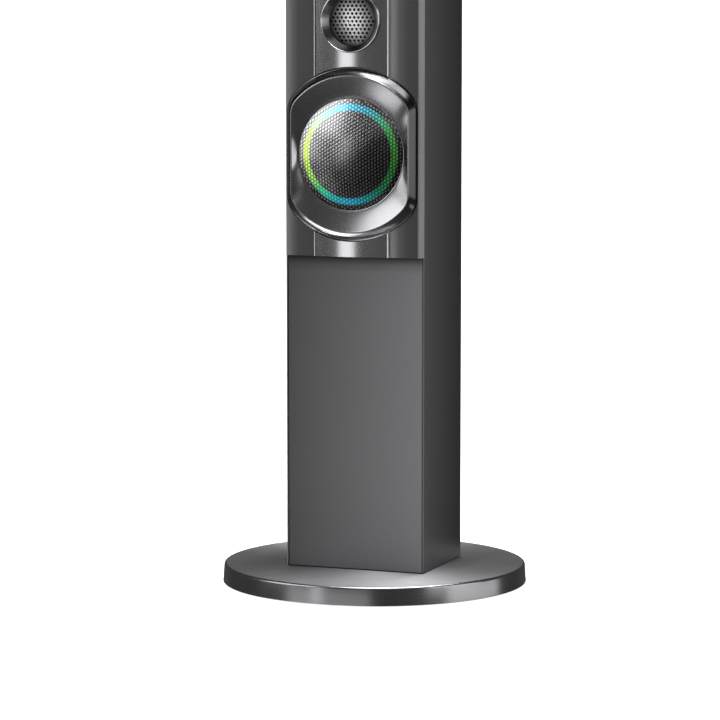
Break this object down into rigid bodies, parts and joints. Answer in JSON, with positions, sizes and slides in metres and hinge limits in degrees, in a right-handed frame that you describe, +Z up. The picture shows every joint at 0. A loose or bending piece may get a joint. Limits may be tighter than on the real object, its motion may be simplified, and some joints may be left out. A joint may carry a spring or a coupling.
{
  "type": "floorstanding speaker",
  "caption": "Slim floorstanding tower speaker on a round base, with lit ring woofers behind domed mesh, a centre tweeter, a bowed metal strip and rear terminals.",
  "frame": {"origin": "middle of the round base, on the floor under the rubber feet", "axes": "+Z up, -Y out of the front baffle, +X to the right seen from the front"},
  "size_m": [0.316, 0.316, 0.8298],
  "materials": {
    "gunmetal_lacquer": "satin metallic lacquer",
    "panel_lacquer": "satin metallic lacquer",
    "bowed_aluminium": "fine brushed, dark anodised",
    "bright_trim": "polished",
    "ballast_iron": "as cast, painted black",
    "foot_rubber": "moulded",
    "foam_seal": "closed-cell foam",
    "screw_steel": "black zinc",
    "mdf_board": "raw fibreboard",
    "dark_chrome": "dark chrome plated casting",
    "mesh_steel": "perforated, black",
    "tweeter_mesh": "perforated, polished",
    "circuit_board": "solder-masked laminate",
    "driver_steel": "zinc plated",
    "ferrite": "sintered",
    "coil_copper": "enamelled copper wire",
    "cone_paper": "pressed pulp, black",
    "cap_paper": "pressed pulp, black",
    "surround_rubber": "moulded half roll",
    "spider_cloth": "resin-dipped weave",
    "dome_silk": "coated silk",
    "black_plastic": "moulded, fine grain",
    "capacitor_film": "dipped",
    "post_brass": "turned, gold flash",
    "cap_red": "moulded",
    "cap_black": "moulded",
    "light_diffuser": "frosted, lit"
  },
  "bodies": {
    "cabinet": {"back_board": "mdf_board", "baffle": "panel_lacquer", "base_ballast": "ballast_iron", "base_cover": "gunmetal_lacquer", "base_screws": "screw_steel", "bottom_board": "mdf_board", "centre_strip": "bowed_aluminium", "column_gasket": "foam_seal", "cross_braces": "mdf_board", "crossover_board": "circuit_board", "crossover_capacitors": "capacitor_film", "crossover_coils": "coil_copper", "front_board": "mdf_board", "front_panel": "panel_lacquer", "lower_bezel": "dark_chrome", "lower_frame": "driver_steel", "lower_grille": "mesh_steel", "lower_lamp_board": "circuit_board", "lower_light_ring": "light_diffuser", "lower_magnet": "ferrite", "lower_spider": "spider_cloth", "lower_surround": "surround_rubber", "lower_top_plate": "driver_steel", "lower_yoke": "driver_steel", "panel_screws": "screw_steel", "port_tube": "black_plastic", "rubber_feet": "foot_rubber", "side_board_left": "mdf_board", "side_board_right": "mdf_board", "side_skin": "gunmetal_lacquer", "terminal_cup": "black_plastic", "terminal_posts": "post_brass", "top_board": "mdf_board", "top_cap": "gunmetal_lacquer", "trim_strips": "bright_trim", "tweeter_faceplate": "black_plastic", "tweeter_grille": "tweeter_mesh", "tweeter_magnet": "ferrite", "tweeter_rim": "bright_trim", "tweeter_surround": "dome_silk", "tweeter_yoke": "driver_steel", "upper_bezel": "dark_chrome", "upper_frame": "driver_steel", "upper_grille": "mesh_steel", "upper_lamp_board": "circuit_board", "upper_light_ring": "light_diffuser", "upper_magnet": "ferrite", "upper_spider": "spider_cloth", "upper_surround": "surround_rubber", "upper_top_plate": "driver_steel", "upper_yoke": "driver_steel"},
    "lower_cone_unit": {"lower_cone": "cone_paper", "lower_coil": "coil_copper", "lower_dust_cap": "cap_paper"},
    "upper_cone_unit": {"upper_cone": "cone_paper", "upper_coil": "coil_copper", "upper_dust_cap": "cap_paper"},
    "tweeter_dome_unit": {"tweeter_dome": "dome_silk"},
    "cap_red": {"terminal_cap_red": "cap_red"},
    "cap_black": {"terminal_cap_black": "cap_black"}
  },
  "joints": [
    {"name": "lower_cone_travel", "type": "slide", "parent": "cabinet", "child": "lower_cone_unit", "axis": [0, -1, 0], "range_m": [-0.003, 0.003], "stiffness_N_per_m": 1200, "deforming": ["lower_surround", "lower_spider"]},
    {"name": "upper_cone_travel", "type": "slide", "parent": "cabinet", "child": "upper_cone_unit", "axis": [0, -1, 0], "range_m": [-0.003, 0.003], "stiffness_N_per_m": 1200, "deforming": ["upper_surround", "upper_spider"]},
    {"name": "tweeter_dome_travel", "type": "slide", "parent": "cabinet", "child": "tweeter_dome_unit", "axis": [0, -1, 0], "range_m": [-0.0003, 0.0003], "stiffness_N_per_m": 200, "deforming": ["tweeter_surround"]},
    {"name": "cap_red_turn", "type": "hinge", "parent": "cabinet", "child": "cap_red", "pos_m": [0.0095, 0.058, 0.0828], "axis": [0, 1, 0], "range_deg": [0, 1080]},
    {"name": "cap_black_turn", "type": "hinge", "parent": "cabinet", "child": "cap_black", "pos_m": [-0.0095, 0.058, 0.0828], "axis": [0, 1, 0], "range_deg": [0, 1080]}
  ]
}
